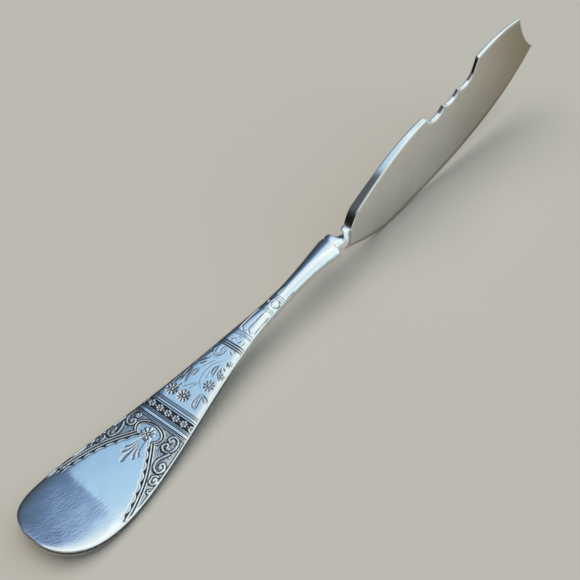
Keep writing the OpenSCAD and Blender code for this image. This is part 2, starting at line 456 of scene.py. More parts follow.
def draw_mouldings(pattern):
    """Two mouldings straight across the handle, with a row of rosettes on a sunk band between them."""
    first = ((32.08, 0.28), (32.42, 0.28), (33, 0.76), (33.53, 0.24), (33.84, 0.28))
    second = ((36, 0.36), (36.52, 0.62), (36.99, 0.24), (37.26, 0.24), (37.55, 0.28))
    start, end = 31.95, 37.7
    band = ease(share(pattern.x, start - wall_run, start)) * fade(pattern.x, end - wall_run, end)
    pattern.sink(ground_depth, band, tarnish_and_shade=0.9)
    for place, width in first + second:
        pattern.lift(line_top, dome((pattern.x - place) / (width / 2)))
    band_middle = 34.9
    rosette_pitch = 2.2
    petal_away = 0.56
    for k in range(-3, 4):
        middle = np.array([band_middle, axis_y + k * rosette_pitch])
        for way in ways_round(6):
            pattern.bead(middle + petal_away * way, radius=0.32, top=0.05)
        pattern.bead(middle, radius=0.2, top=0.02)
        pattern.bead(middle + (0, rosette_pitch / 2), radius=0.2, top=0)


def draw_flowers(pattern):
    """Engraved sprays of flowers and leaves between the mouldings and the first group of rings."""
    pattern.daisy((39.7, 0.5), radius=1.45, petals=9, turn=0.1, ground=0.45, fullness=0.75)
    pattern.daisy((39.6, 3.6), radius=1.4, petals=8, turn=-0.3, ground=0.6, fullness=0.75)
    pattern.blossom((44.3, -2.36), radius=1.4, petals=9, turn=0.4)
    pattern.blossom((47.2, -3.2), radius=0.9, petals=6, turn=0.2)
    pattern.blossom((50.5, -2.75), radius=0.85, petals=6, turn=0.5)
    bold = [
        [(42.1, -2.4), (41.4, -2.15), (40.7, -2.05), (39.7, -2.06), (38.9, -2.45), (38.3, -3.5)],
        [(42, -2.7), (41.1, -2.95), (40.4, -3.12), (39.4, -3.4), (38.3, -3.6)],
        [(42, -2.75), (41.8, -3.65), (41.5, -4.4), (41.1, -4.9)],
        [(41.75, -2.85), (41.1, -3.5), (40.6, -4.3)],
        [(42.6, 2.5), (43.5, 3.15), (44.6, 3.3), (45.6, 3.1)],
        [(42.4, 2.65), (43.3, 3), (44.3, 3), (45.5, 2.75), (46.4, 2.35)],
        [(44.2, 2.2), (45.2, 2.05), (46.3, 2.05)],
        [(46.5, -1.25), (46.85, -0.85), (47.7, -0.58), (48.5, -0.63), (49.3, -0.95)],
        [(46.6, -1.35), (47.4, -1.3), (48.3, -1.15), (49.2, -1)],
        [(46.5, -3.5), (46.75, -2.8), (47.2, -2.15), (47.9, -1.75), (48.7, -1.6)],
        [(47.6, -3.3), (47.8, -2.7), (48.2, -2.2), (48.9, -1.8)],
        [(50.6, 2.6), (50.6, 1.7), (50.85, 1), (51.5, 0.42), (52.4, 0.22), (53.4, 0.4)],
        [(51.8, 1), (52.3, 1.17), (53.2, 1.15), (53.7, 0.8)],
        [(51.3, 1.75), (51.7, 2.15), (52.5, 2.3)],
        [(53.1, -0.6), (52.7, -1.15), (52.5, -1.75)],
        [(53.6, -1.3), (53.4, -1.7), (53.3, -2.1)],
        [(50.5, -1.9), (50.3, -2.3), (50.1, -2.8)],
        [(49.3, -2.1), (48.9, -2.6), (48.8, -3.1)],
        [(47.3, 2.9), (48, 2.3), (48.7, 2)],
        [(48.6, 2.9), (49.2, 2.3), (49.9, 2)],
        [(41.9, 3.9), (42.6, 3.6), (43.6, 3.7), (44.6, 3.5)],
        [(40.9, 3.1), (41.4, 2.9), (41.8, 3)],
        [(55.4, 1.1), (55.9, 1.05), (56.3, 0.55), (56.1, 0.1)],
        [(56.8, 0.4), (57, -0.1), (56.8, -0.5)],
        [(55.4, -1.7), (56, -2), (56.6, -1.8)],
        [(55.5, -0.4), (55.9, -0.9), (56.5, -1)],
    ]
    leaves = [
        [(49.4, -0.97), (48.6, -0.85), (47.6, -0.95), (46.6, -1.25)],
        [(48.9, -1.7), (48, -2), (47.3, -2.5), (46.7, -3.3)],
        [(46.4, 2.2), (45.2, 2.5), (43.8, 2.8), (42.5, 2.7)],
        [(42, -2.5), (40.9, -2.5), (39.8, -2.7), (38.8, -3.1)],
        [(42, -2.8), (41.5, -3.5), (41.1, -4.1), (40.9, -4.6)],
        [(53.3, 0.7), (52.3, 0.75), (51.4, 1.2), (50.9, 2.1)],
    ]
    rim_leaves = [
        [(40.5, 4.3), (41.9, 4.35), (43, 3.95)],
        [(42.8, 3.5), (44.3, 3.75), (45.4, 3.6)],
        [(46.9, 3.7), (48, 3.35), (48.7, 2.8)],
        [(49.1, 3.3), (50.2, 3.1), (51.2, 2.7)],
        [(51.3, 2.9), (52.3, 2.8), (53.2, 2.5)],
    ]
    stems = [
        [(42, -2.5), (42.7, -1.5), (43.3, -0.85), (44.1, 0), (45, 0.42), (46, 0.63), (47, 0.66),
         (48, 0.5), (48.8, 0.25), (49.7, -0.33), (50.5, -1), (51.7, -1.85)],
        [(41.1, 0.65), (42, 0.65), (43, 0.25), (44, -0.1)],
        [(40.8, 2.3), (41.7, 1.8), (42.7, 1), (43.8, 0.2)],
        [(44.9, -1.1), (45.3, -0.6), (46.7, -0.35), (48.2, -0.45), (49.3, -0.8)],
        [(46.6, 2), (47.5, 1.67), (48.5, 1.17), (49.3, 0.83), (50.2, 0.3)],
        [(50.2, 3), (50.1, 2), (50.3, 1), (51, 0)],
    ]
    for path in bold:
        pattern.cut(smooth(path), 0.36, 0.22 * cut_depth, tarnish_and_shade=0.66)
    for path in stems:
        pattern.cut(smooth(path), 0.3, 0.08 * cut_depth, tarnish_and_shade=0.56)
    for path in leaves:
        pattern.leaf(smooth(path), 0.3, 0.85, depth=0.012, tarnish_and_shade=0.3)
    for path in rim_leaves:
        pattern.leaf(smooth(path), 0.3, 0.8, depth=0.02, tarnish_and_shade=0.56)


def draw_shank(pattern):
    """Groups of rings along the shank, a fluted panel, two beads, and tongues where it turns plain."""
    pattern.rings((53.83, 54.35, 54.9), depth=0.12, tarnish_and_shade=0.9)
    pattern.rings((57.4, 57.75, 58.3), depth=0.06, tarnish_and_shade=0.6)
    pattern.rings((65.5, 65.9, 66.3), depth=0.05, tarnish_and_shade=0.6)
    pattern.rings((69.3, 69.85, 70.4), depth=0.06, tarnish_and_shade=0.62)
    flutes = (
        ([(59, 1.4), (65.2, 1.25)], 0.62),
        ([(59, -0.2), (65.2, -0.2)], 0.46),
        ([(59, -2.15), (65.2, -1.9)], 0.5),
    )
    for path, width in flutes:
        pattern.cut(np.array(path), width, depth=0.1, tarnish_and_shade=0.55)
    hoods = (
        [(59.6, 1.4), (58.9, 0.6), (59.6, -0.2)],
        [(59.6, -0.2), (58.9, -1.2), (59.6, -2.1)],
    )
    for path in hoods:
        pattern.cut(smooth(path), width=0.26, depth=0.07, tarnish_and_shade=0.4)
    groove_away = 0.14
    for x, y, radius in ((68.2, -0.75, 0.88), (68, 1.35, 0.5)):
        away = pattern.away_from((x, y)) - radius - groove_away
        # The groove round each bead is deeper on its right, and darker there as painted shade
        on_right = ease(share(y - pattern.y, -0.4 * radius, 0.6 * radius))
        pattern.sink(0.06, fade(np.abs(away), 0.03, 0.22) * mix(0.4, 1, on_right), tarnish_and_shade=0.8)
        pattern.bead((x, y), radius, top=0.1)
    tongues = (
        [(70.7, 0.45), (72.7, 0.3)],
        [(70.5, -1.9), (73.8, -1.8)],
    )
    for path in tongues:
        pattern.cut(np.array(path), width=0.34, depth=0.1, tarnish_and_shade=0.7)


# Making meshes
def to_frame(points):
    """Places in millimetres from the handle's tip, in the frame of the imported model."""
    return (np.asarray(points, float) - (overall_length / 2, 0, 0)) * MM


def make_skin(name, rings):
    """A closed mesh through rings with the same number of points, with a flat face at each end."""
    count, sides = rings.shape[:2]
    corner = np.arange(count * sides).reshape(count, sides)
    ahead = np.roll(corner, -1, axis=1)
    quads = np.stack([corner[:-1], ahead[:-1], ahead[1:], corner[1:]], axis=-1).reshape(-1, 4)
    faces = quads.tolist() + [corner[0, ::-1].tolist(), corner[-1].tolist()]
    mesh = bpy.data.meshes.new(name)
    mesh.from_pydata(to_frame(rings.reshape(-1, 3)).tolist(), [], faces)
    mesh.polygons.foreach_set("use_smooth", [True] * len(quads) + [False, False])
    piece = bpy.data.objects.new(name, mesh)
    bpy.context.scene.collection.objects.link(piece)
    return piece


def set_value(piece, name, values):
    """Gives each point of the piece a value that its material can read."""
    attribute = piece.data.attributes.new(name, "FLOAT", "POINT")
    attribute.data.foreach_set("value", values.astype(np.float32).ravel())


def rows_along_handle():
    """Places of the handle's cross-sections, the closest together where the pattern is the finest."""
    first_row = 0.002
    tip_rows, tip_crowding = 36, 2.2
    plain_rows, shoulder_rows = 26, 12
    # Start, end and pitch of the rows in each part of the pattern
    cartouche = (14.0, 32.6, 0.113)
    mouldings = (32.6, 39.0, 0.075)
    flowers = (39.0, 57.0, 0.13)
    shank = (57.0, 76.0, 0.18)
    tip = cartouche[0] * np.linspace(0, 1, tip_rows, endpoint=False) ** tip_crowding
    tip[0] = first_row
    patterned = [np.arange(*stretch) for stretch in (cartouche, mouldings, flowers, shank)]
    plain = np.linspace(shank[1], shoulder_x, plain_rows, endpoint=False)
    shoulder = shoulder_x + shoulder_round * np.sin(np.linspace(0, math.pi / 2, shoulder_rows))
    return np.concatenate([tip, *patterned, plain, shoulder])


def places_across_handle():
    """Places across a cross-section in half widths: over it from its left rim, and back under it."""
    rim_rows, face_rows, under_rows = 9, 130, 20
    face_reach, edge_crowding, rim_crowding = 0.95, 0.3, 4
    rim = 1 - (1 - face_reach) * np.linspace(0, 1, rim_rows, endpoint=False) ** rim_crowding
    face = np.linspace(1, -1, face_rows)
    face *= face_reach * (1 + edge_crowding * (1 - np.abs(face)))
    over = np.concatenate([rim, face, -rim[::-1]])
    under = -np.cos(np.linspace(0, math.pi, under_rows + 2)[1:-1])
    return over[None, :], under[None, :]


def make_handle():
    """The handle, with the struck pattern raised and sunk in its upper face."""
    x = rows_along_handle()[:, None]
    over, under = places_across_handle()
    half_width, half_thickness = handle_half_width(x), handle_half_thickness(x)
    squareness, mid_z = handle_squareness(x), handle_mid_z(x)
    middle_y = neck_aside * (1 - shoulder_roundness(x))

    def section_rise(places):
        """How far the face stands off the section's middle, from 0 at the rims to 1."""
        return np.maximum(0, 1 - np.abs(places) ** squareness) ** (1 / squareness)

    def face(places, up):
        z = np.maximum(0, mid_z + up * half_thickness * section_rise(places))
        return np.stack(np.broadcast_arrays(x, middle_y + half_width * places, z), axis=-1)

    top = face(over, 1)
    pattern = Pattern(top[..., 0] - pattern_origin_x, top[..., 1])
    for draw in (draw_cartouche, draw_plume, draw_mouldings, draw_flowers, draw_shank):
        draw(pattern)
    plain_rim, rim_share = 0.12, 0.05
    from_rim = half_width * (1 - np.abs(over))
    inside_rim = ease(share(from_rim, plain_rim, plain_rim + rim_share * half_width))
    normal = np.cross(np.gradient(top, axis=1), np.gradient(top, axis=0))
    normal /= np.maximum(np.linalg.norm(normal, axis=-1, keepdims=True), tiny)
    normal *= np.sign(normal[..., 2:3] + tiny)
    top = top + normal * (pattern.height * inside_rim)[..., None]
    piece = make_skin("patterned_handle", np.concatenate([top, face(under, -1)], axis=1))

    # The walls are darkened too, less so on the shank and underneath: painted shade for the shadowed floor
    # they mirror, with some real dullness of worn plate
    wall_shade_and_wear, shank_share, under_share = 0.75, 0.5, 0.5
    shank_start_x, shank_full_x = 45, 59
    rise = tip_rim(x) * section_rise(np.concatenate([over, under], axis=1))
    wall = wall_shade_and_wear * fade(rise, 0.5, 0.8)
    wall *= mix(1, shank_share, ease(share(x, shank_start_x, shank_full_x)))
    wall[:, over.size :] *= under_share
    for name, values, rest in (("tarnish_and_shade", pattern.tarnish_and_shade, wall), ("punched", pattern.punched, 0 * wall)):
        on_rings = rest.copy()
        on_rings[:, : over.size] = np.maximum(on_rings[:, : over.size], values * inside_rim)
        set_value(piece, name, on_rings)
    return piece


def make_neck():
    """The neck, whose section makes a quarter turn so that the handle's right edge becomes the spine."""
    twist_start, twist_end = 0.35, 0.9
    square_end, hump_end = 0.7, 0.75
    pinch, hump = 0.2, 0.3
    rows, sides = 110, 120
    painted_shade_under = 0.45
    t = np.linspace(0, 1, rows)[:, None]
    a = np.linspace(0, 2 * math.pi, sides, endpoint=False)[None, :]
    half_width = mix(neck_width, neck_height, ease(t)) / 2 - pinch * np.sin(math.pi * t)
    squareness = mix(shank_squareness, neck_squareness, ease(share(t, 0, square_end)))
    across = half_width * signed_power(np.cos(a), 2 / squareness)
    up = neck_thickness / 2 * signed_power(np.sin(a), 2 / squareness)
    turn = -math.pi / 2 * ease(share(t, twist_start, twist_end))
    middle_z = mix(shoulder_height, root_mid_z, np.sin(math.pi / 2 * t))
    middle_z += hump * np.sin(math.pi * share(t, 0, hump_end)) ** 2
    x = np.broadcast_to(neck_x + t * neck_length, across.shape)
    y = neck_aside * (1 - ease(t)) + across * np.cos(turn) - up * np.sin(turn)
    z = middle_z + across * np.sin(turn) + up * np.cos(turn)
    piece = make_skin("twisted_neck_bar", np.stack([x, y, z], axis=-1))
    # Painted shade darkens the neck's underside, which faces the dark floor in its own shadow
    set_value(piece, "tarnish_and_shade", painted_shade_under * ease(share(-np.sin(a), 0.1, 0.5)) * share(t, 0.1, 0.4))
    return piece


# Side view of the blade, in x and z
root_low = np.array([blade_x, root_mid_z - neck_height / 2])
root_high = np.array([blade_x, root_mid_z + neck_height / 2])
heel = root_high + (2.7, 3.95)
touch = np.array([blade_x + 0.205 * blade_length, 0])
point = np.array([point_x, point_height])
corner = np.array([blade_x + 0.865 * blade_length, corner_height])
riser = np.array([blade_x + 0.619 * blade_length, corner_height - 1.2])
end_hollow = 1.1
crest_bow = 1.0
scallop_start = np.array([blade_x + 0.406 * blade_length, peak_height + 2.6])
scallop_pitch = np.array([0.0748 * blade_length, 1.27])


def scallops(steps):
    """Points along the scallops, from the spine's peak to the foot of the riser."""
    lean = math.atan2(scallop_pitch[1], scallop_pitch[0])
    opening = math.acos(np.linalg.norm(scallop_pitch) / 2 / scallop_radius)
    peak_angle = math.pi + math.asin((scallop_start[1] - peak_height) / scallop_radius)
    arcs = []
    for k in range(scallop_count):
        centre = scallop_start + k * scallop_pitch
        first_angle = math.pi + lean + opening if k else peak_angle
        angles = np.linspace(first_angle, 2 * math.pi + lean - opening, steps)
        arcs.append(centre + scallop_radius * on_circle(angles))
    return np.vstack([arcs[0]] + [arc[1:] for arc in arcs[1:]])


def blade_half_thickness(places):
    """Half the blade's thickness, which tapers from spine to edge and from root to point."""
    root_edge_thickness = 2.0
    spine_power = 0.6
    x, z = places[:, :1], places[:, 1:]
    spine = mix(spine_thickness, point_thickness, share(x, blade_x, point_x) ** spine_power)
    edge = mix(root_edge_thickness, edge_thickness, ease(share(x, blade_x, touch[0])))
    spine_z = mix(heel[1], corner[1], share(x, heel[0], corner[0]) ** spine_power)
    edge_z = mix(0, point[1], share(x, touch[0], point[0]) ** 2)
    return mix(edge, spine, (z - edge_z) / (spine_z - edge_z)) / 2


def blade_outline():
    """The blade's spine and its edge from root to point, as paths with the same number of points."""
    notches = scallops(30)
    peak = notches[0]
    end = bow(point, corner, -end_hollow, 60)[::-1]
    # The last step stays short of the point, where the spine and the edge would meet
    end[-1] = mix(end[-2], point, 0.9)
    upper = np.vstack([
        bezier(root_high, root_high + (0.75, 1.7), heel - (1.2, 0.65), heel, 24)[:-1],
        bezier(heel, heel + (8, 4.35), peak - (9, 0.2), peak, 80)[:-1],
        notches,
        mix(notches[-1], riser, np.linspace(0, 1, 10)[1:, None]),
        bow(corner, riser, crest_bow, 50)[-2::-1],
        end[1:],
    ])
    flat_end = (blade_x + 0.634 * blade_length, 1.1)
    before_point = (blade_x + 0.863 * blade_length, 7.2)
    edge = np.vstack([
        bezier(root_low, root_low + (5.2, -1.9), touch - (7.5, -0.75), touch, 60),
        bezier(touch, flat_end, before_point, point, 120)[1:],
    ])
    lower_x = np.maximum.accumulate(upper[:, 0])
    lower = np.column_stack([lower_x, np.interp(lower_x, edge[:, 0], edge[:, 1])])
    return upper, lower


def make_blade():
    """The blade between its spine and its edge, with both borders rounded over."""
    rounding, most_of_height, most_of_thickness = 0.36, 0.3, 0.8
    face_rows, round_rows, spine_rows = 26, 7, 5
    upper, lower = blade_outline()
    tall = np.linalg.norm(upper - lower, axis=1)[:, None]

    def rounded(path, inward):
        """Rows over a rounded border, from its rim to the face: places, and how far they are drawn in."""
        radius = np.minimum(rounding, most_of_height * tall)
        radius = np.minimum(radius, most_of_thickness * blade_half_thickness(path))
        quarter = np.linspace(0, math.pi / 2, round_rows)
        return [(path + inward * radius * (1 - math.cos(a)), radius * (1 - math.sin(a))) for a in quarter]

    edge_border = rounded(lower, -to_right(lower))
    spine_border = rounded(upper, to_right(upper))[::-1]
    face_low, face_high = edge_border[-1][0], spine_border[0][0]
    between = [(mix(face_low, face_high, t), 0) for t in np.linspace(0, 1, face_rows)[1:-1]]
    rows = edge_border + between + spine_border
    near_side = []
    for places, drawn_in in rows:
        half = blade_half_thickness(places) - drawn_in
        near_side.append(np.column_stack([places[:, 0], -half[:, 0], places[:, 1]]))
    near_side = np.stack(near_side, axis=1)
    far_side = near_side[:, ::-1] * (1, -1, 1)
    cross = np.linspace(0, 1, spine_rows + 2)[1:-1][None, :, None]
    over_spine = mix(near_side[:, -1:], far_side[:, :1], cross)
    under_edge = mix(far_side[:, -1:], near_side[:, :1], cross)
    all_round = np.concatenate([near_side, over_spine, far_side, under_edge], axis=1)
    piece = make_skin("polished_blade", all_round)

    # The faces are a little dull; towards the point a painted brown reflection darkens them more, and
    # painted shade darkens the edge and the spine's end
    root_dull, point_dull_and_reflection, edge_painted_shade, spine_end_painted_shade = 0.34, 0.73, 0.5, 0.6
    reflection_start_x, reflection_full_x = 128, 186
    x = upper[:, :1]
    row = np.arange(len(rows))
    face_dull_and_reflection = mix(root_dull, point_dull_and_reflection, ease(share(x, reflection_start_x, reflection_full_x)))
    off_spine = share(len(rows) - 1 - row, 3, round_rows)
    by_edge = 1 - share(row, round_rows - 2, round_rows + 1)
    dull = face_dull_and_reflection * off_spine + edge_painted_shade * by_edge
    # Painted shade: the crest's highlight dims towards the spine's end, and the underside of the edge is
    # dark
    on_spine = spine_end_painted_shade * ease(share(x, riser[0], corner[0])) * np.ones((1, spine_rows))
    on_edge = np.ones_like(on_spine)
    set_value(piece, "tarnish_and_shade", np.concatenate([dull, on_spine, dull[:, ::-1], on_edge], axis=1))
    return piece


# Shader nodes
def feed(tree, socket, value):
    """Links a socket to another node's, or gives it a plain value."""
    if isinstance(value, bpy.types.NodeSocket):
        tree.links.new(value, socket)
    else:
        socket.default_value = value


def add_node(tree, kind, settings=None, **sockets):
    """A new node with its settings made and its sockets fed. A name's underscores stand for spaces."""
    made = tree.nodes.new(kind)
    for name, value in (settings or {}).items():
        setattr(made, name, value)
    for name, value in sockets.items():
        feed(tree, made.inputs[name.replace("_", " ")], value)
    return made


def calculate(tree, operation, *values):
    """A Math node's result."""
    made = add_node(tree, "ShaderNodeMath", {"operation": operation})
    for socket, value in zip(made.inputs, values):
        feed(tree, socket, value)
    return made.outputs[0]


def remap(tree, value, from_low, from_high, to_low=0.0, to_high=1.0, way="LINEAR"):
    """A value carried over from one range to another, and kept within it."""
    made = add_node(tree, "ShaderNodeMapRange", {"interpolation_type": way}, Value=value)
    limits = {"From Min": from_low, "From Max": from_high, "To Min": to_low, "To Max": to_high}
    for name, limit in limits.items():
        feed(tree, made.inputs[name], limit)
    return made.outputs["Result"]


def blend_colours(tree, factor, first, second):
    """The first colour where the factor is 0, and the second where it is 1."""
    made = add_node(tree, "ShaderNodeMix", {"data_type": "RGBA"})
    sockets = {socket.identifier: socket for socket in made.inputs}
    for name, value in (("Factor_Float", factor), ("A_Color", first), ("B_Color", second)):
        feed(tree, sockets[name], value)
    return next(socket for socket in made.outputs if socket.identifier == "Result_Color")


def new_group(name, inputs, outputs):
    """A shader node group with named sockets, and its two ends."""
    group = bpy.data.node_groups.new(name, "ShaderNodeTree")
    for socket, (kind, value) in inputs.items():
        made = group.interface.new_socket(name=socket, in_out="INPUT", socket_type=kind)
        if value is not None:
            made.default_value = value
    for socket, kind in outputs.items():
        group.interface.new_socket(name=socket, in_out="OUTPUT", socket_type=kind)
    return group, group.nodes.new("NodeGroupInput"), group.nodes.new("NodeGroupOutput")


FLOAT = "NodeSocketFloat"
VECTOR = "NodeSocketVector"
COLOUR = "NodeSocketColor"


def make_scratch_group():
    """Fine scratches nearly along the piece, and a few others askew. Places are in millimetres."""
    group, source, result = new_group(
        "fine_scratches",
        {"Place": (VECTOR, None), "Fineness": (FLOAT, 6.0), "Turn": (FLOAT, 0.27)},
        {"Height": FLOAT, "Mask": FLOAT},
    )
    place, fineness, turn = (source.outputs[name] for name in ("Place", "Fineness", "Turn"))
    softness = 0.2
    mask = 0.0
    for stretch, turn_share, sparse in ((0.09, 1.0, 0.45), (0.1, -2.0, 0.62), (0.45, 1.0, 0.7)):
        angle = calculate(group, "MULTIPLY", turn, turn_share)
        turned = add_node(
            group, "ShaderNodeVectorRotate", {"rotation_type": "Z_AXIS"}, Vector=place, Angle=angle
        )
        pulled = add_node(group, "ShaderNodeVectorMath", {"operation": "MULTIPLY"})
        feed(group, pulled.inputs[0], turned.outputs[0])
        feed(group, pulled.inputs[1], (stretch, 1, 1))
        noise = add_node(group, "ShaderNodeTexNoise", Scale=fineness, Detail=2.0, Roughness=0.55)
        feed(group, noise.inputs["Vector"], pulled.outputs[0])
        layer = remap(group, noise.outputs["Fac"], sparse, sparse + softness)
        mask = calculate(group, "MAXIMUM", mask, layer)
    feed(group, result.inputs["Mask"], mask)
    feed(group, result.inputs["Height"], calculate(group, "MULTIPLY", mask, -1.0))
    return group


def make_smudge_group():
    """Broad, soft changes in a polished finish from handling. Places are in millimetres."""
    group, source, result = new_group(
        "handling_smudges",
        {"Place": (VECTOR, None), "Size": (FLOAT, 8.0), "Least": (FLOAT, 0.1), "Most": (FLOAT, 0.2)},
        {"Roughness": FLOAT, "Mask": FLOAT},
    )
    place, size, least, most = (source.outputs[name] for name in ("Place", "Size", "Least", "Most"))
    scale = calculate(group, "DIVIDE", 1.0, size)
    noise = add_node(group, "ShaderNodeTexNoise", Vector=place, Scale=scale, Detail=4.0, Roughness=0.6)
    mask = remap(group, noise.outputs["Fac"], 0.35, 0.68)
    feed(group, result.inputs["Mask"], mask)
    feed(group, result.inputs["Roughness"], remap(group, mask, 0.0, 1.0, least, most))
    return group


def make_tarnish_and_shade_group():
    """Silver that darkens where a mask is high, with an uneven edge. The mask holds real tarnish and
    painted shade. Places are in millimetres.
    """
    group, source, result = new_group(
        "tarnish_and_shade",
        {"Place": (VECTOR, None), "Recess": (FLOAT, 0.0), "Unevenness": (FLOAT, 0.1),
         "Silver": (COLOUR, (0.9, 0.9, 0.9, 1)), "Dark": (COLOUR, (0.05, 0.05, 0.05, 1))},
        {"Color": COLOUR, "Mask": FLOAT},
    )
    place, darkening, unevenness = (source.outputs[name] for name in ("Place", "Recess", "Unevenness"))
    noise = add_node(group, "ShaderNodeTexNoise", Vector=place, Scale=2.2, Detail=3.0)
    uneven = remap(group, noise.outputs["Fac"], 0.3, 0.7, -1.0, 1.0)
    mask = remap(group, calculate(group, "MULTIPLY_ADD", uneven, unevenness, darkening), 0.2, 0.75)
    colour = blend_colours(group, mask, source.outputs["Silver"], source.outputs["Dark"])
    feed(group, result.inputs["Color"], colour)
    feed(group, result.inputs["Mask"], mask)
    return group


scratch_group = make_scratch_group()
smudge_group = make_smudge_group()
tarnish_and_shade_group = make_tarnish_and_shade_group()


# Materials
silver_colour = (0.97, 0.97, 0.96, 1)
smudged_colour = (0.88, 0.885, 0.885, 1)
dark_colour = (0.07, 0.075, 0.08, 1)
# The blade's dark: warm brown, for its dullness and for the painted reflection of a brown table towards
# the point
warm_tarnish_and_reflection_colour = (0.24, 0.185, 0.085, 1)
solder_colour = (0.42, 0.42, 0.4, 1)
dark_solder_colour = (0.3, 0.3, 0.29, 1)
floor_colour = (0.5, 0.475, 0.435, 1)


def new_metal(name):
    """A metal's material with its shader, and the place on the piece in millimetres."""
    material = bpy.data.materials.new(name)
    material.use_nodes = True
    tree = material.node_tree
    tree.nodes.clear()
    shader = add_node(tree, "ShaderNodeBsdfPrincipled", Metallic=1.0)
    output = tree.nodes.new("ShaderNodeOutputMaterial")
    feed(tree, output.inputs["Surface"], shader.outputs["BSDF"])
    coordinates = tree.nodes.new("ShaderNodeTexCoord")
    place = add_node(tree, "ShaderNodeVectorMath", {"operation": "SCALE"}, Scale=1 / MM)
    feed(tree, place.inputs[0], coordinates.outputs["Object"])
    return material, tree, shader, place.outputs[0]


def place_group(tree, group, **sockets):
    """A node group placed in a material, with its own values."""
    return add_node(tree, "ShaderNodeGroup", {"node_tree": group}, **sockets)


def read_value(tree, name):
    """A value that set_value gave to the piece."""
    return add_node(tree, "ShaderNodeAttribute", {"attribute_name": name}).outputs["Fac"]


def wear_tip(tree, place, scratch_height, smudge_mask):
    """The height of patchy scratches in microns, with deeper ones and dents at the handle's tip."""
    wear_start_x, wear_full_x = 19, 11
    scratch_depth, tip_scratch_depth, dent_depth = 0.6, 2.2, 26.0
    along = add_node(tree, "ShaderNodeSeparateXYZ", Vector=place).outputs["X"]
    at_tip = remap(tree, along, wear_start_x - overall_length / 2, wear_full_x - overall_length / 2)
    patchy = remap(tree, smudge_mask, 0.2, 0.8, 0.3, 1.0)
    depth = calculate(tree, "MULTIPLY_ADD", at_tip, tip_scratch_depth, scratch_depth)
    height = calculate(tree, "MULTIPLY", scratch_height, calculate(tree, "MULTIPLY", depth, patchy))
    dents = add_node(tree, "ShaderNodeTexNoise", Vector=place, Scale=0.25, Detail=1.0)
    dent = calculate(tree, "MULTIPLY", dents.outputs["Fac"], at_tip)
    return calculate(tree, "MULTIPLY_ADD", dent, dent_depth, height)


def make_silver(name, dark, unevenness, darkening_rough, patterned=False):
    """Polished silver with scratches, smudges and tarnish, with painted shade and painted reflection
    carried in the same darkening. The patterned one has a punched ground too, and a worn tip."""
    micron = 1e-6
    scratch_rough = 0.03
    punch_depth, punch_tarnish = 12.0, 0.22
    material, tree, shader, place = new_metal(name)
    worn = place_group(tree, scratch_group, Place=place, Fineness=3.4, Turn=0.2)
    handled = place_group(tree, smudge_group, Place=place, Size=9.0, Least=0.06, Most=0.1)
    rough = handled.outputs["Roughness"]
    height = worn.outputs["Height"]
    # The darkening read here is real tarnish in hollows and some dullness, plus painted shade and painted
    # reflection
    darkening = read_value(tree, "tarnish_and_shade")
    if patterned:
        height = wear_tip(tree, place, height, handled.outputs["Mask"])
        dots = add_node(tree, "ShaderNodeTexVoronoi", Vector=place, Scale=3.0)
        hollow = remap(tree, dots.outputs["Distance"], 0.15, 0.6)
        hollow = calculate(tree, "MULTIPLY", hollow, read_value(tree, "punched"))
        height = calculate(tree, "MULTIPLY_ADD", hollow, -punch_depth, height)
        darkening = calculate(tree, "MULTIPLY_ADD", hollow, punch_tarnish, darkening)
    smudged = blend_colours(tree, handled.outputs["Mask"], silver_colour, smudged_colour)
    dull = place_group(
        tree, tarnish_and_shade_group, Place=place, Recess=darkening, Unevenness=unevenness, Silver=smudged, Dark=dark
    )
    for mask, more_rough in ((worn.outputs["Mask"], scratch_rough), (dull.outputs["Mask"], darkening_rough)):
        rough = calculate(tree, "MULTIPLY_ADD", mask, more_rough, rough)
    bump = add_node(tree, "ShaderNodeBump", Height=height, Strength=1.0, Distance=micron)
    feed(tree, shader.inputs["Base Color"], dull.outputs["Color"])
    feed(tree, shader.inputs["Roughness"], rough)
    feed(tree, shader.inputs["Normal"], bump.outputs["Normal"])
    return material


def make_solder():
    """Dull grey solder with a grainy surface."""
    material, tree, shader, place = new_metal("dull_solder")
    grain = place_group(tree, smudge_group, Place=place, Size=0.8, Least=0.38, Most=0.6)
    colour = blend_colours(tree, grain.outputs["Mask"], solder_colour, dark_solder_colour)
    feed(tree, shader.inputs["Base Color"], colour)
    feed(tree, shader.inputs["Roughness"], grain.outputs["Roughness"])
    return material


# Pieces
handle = make_handle()
neck = make_neck()
blade = make_blade()

handle_silver = make_silver(
    "struck_silver", dark_colour, unevenness=0.1, darkening_rough=0.25, patterned=True
)
neck_silver = make_silver("drawn_silver", dark_colour, unevenness=0.1, darkening_rough=0.2)
blade_silver = make_silver("polished_silver", warm_tarnish_and_reflection_colour, unevenness=0.02, darkening_rough=0.05)
solder = make_solder()

for piece, node, slot, material in (
    (handle, "handle", "handle_silver", handle_silver),
    (neck, "twisted_neck", "blade_silver", neck_silver),
    (blade, "blade", "blade_silver", blade_silver),
):
    piece.data.materials.append(material)
    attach(piece, "root")
    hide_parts(node)

for node in ("handle_solder", "blade_solder"):
    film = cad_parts[node]
    film.data.materials.clear()
    film.data.materials.append(solder)


# Floor, light and camera
def make_floor():
    """A plain pale floor."""
    reach = 4.0
    corners = [(-reach, -reach, 0), (reach, -reach, 0), (reach, reach, 0), (-reach, reach, 0)]
    mesh = bpy.data.meshes.new("floor")
    mesh.from_pydata(corners, [], [(0, 1, 2, 3)])
    floor = bpy.data.objects.new("floor", mesh)
    bpy.context.scene.collection.objects.link(floor)
    material = bpy.data.materials.new("pale_floor")
    material.use_nodes = True
    shader = material.node_tree.nodes["Principled BSDF"]
    shader.inputs["Base Color"].default_value = floor_colour
    shader.inputs["Roughness"].default_value = 0.7
    shader.inputs["Specular IOR Level"].default_value = 0.2
    mesh.materials.append(material)


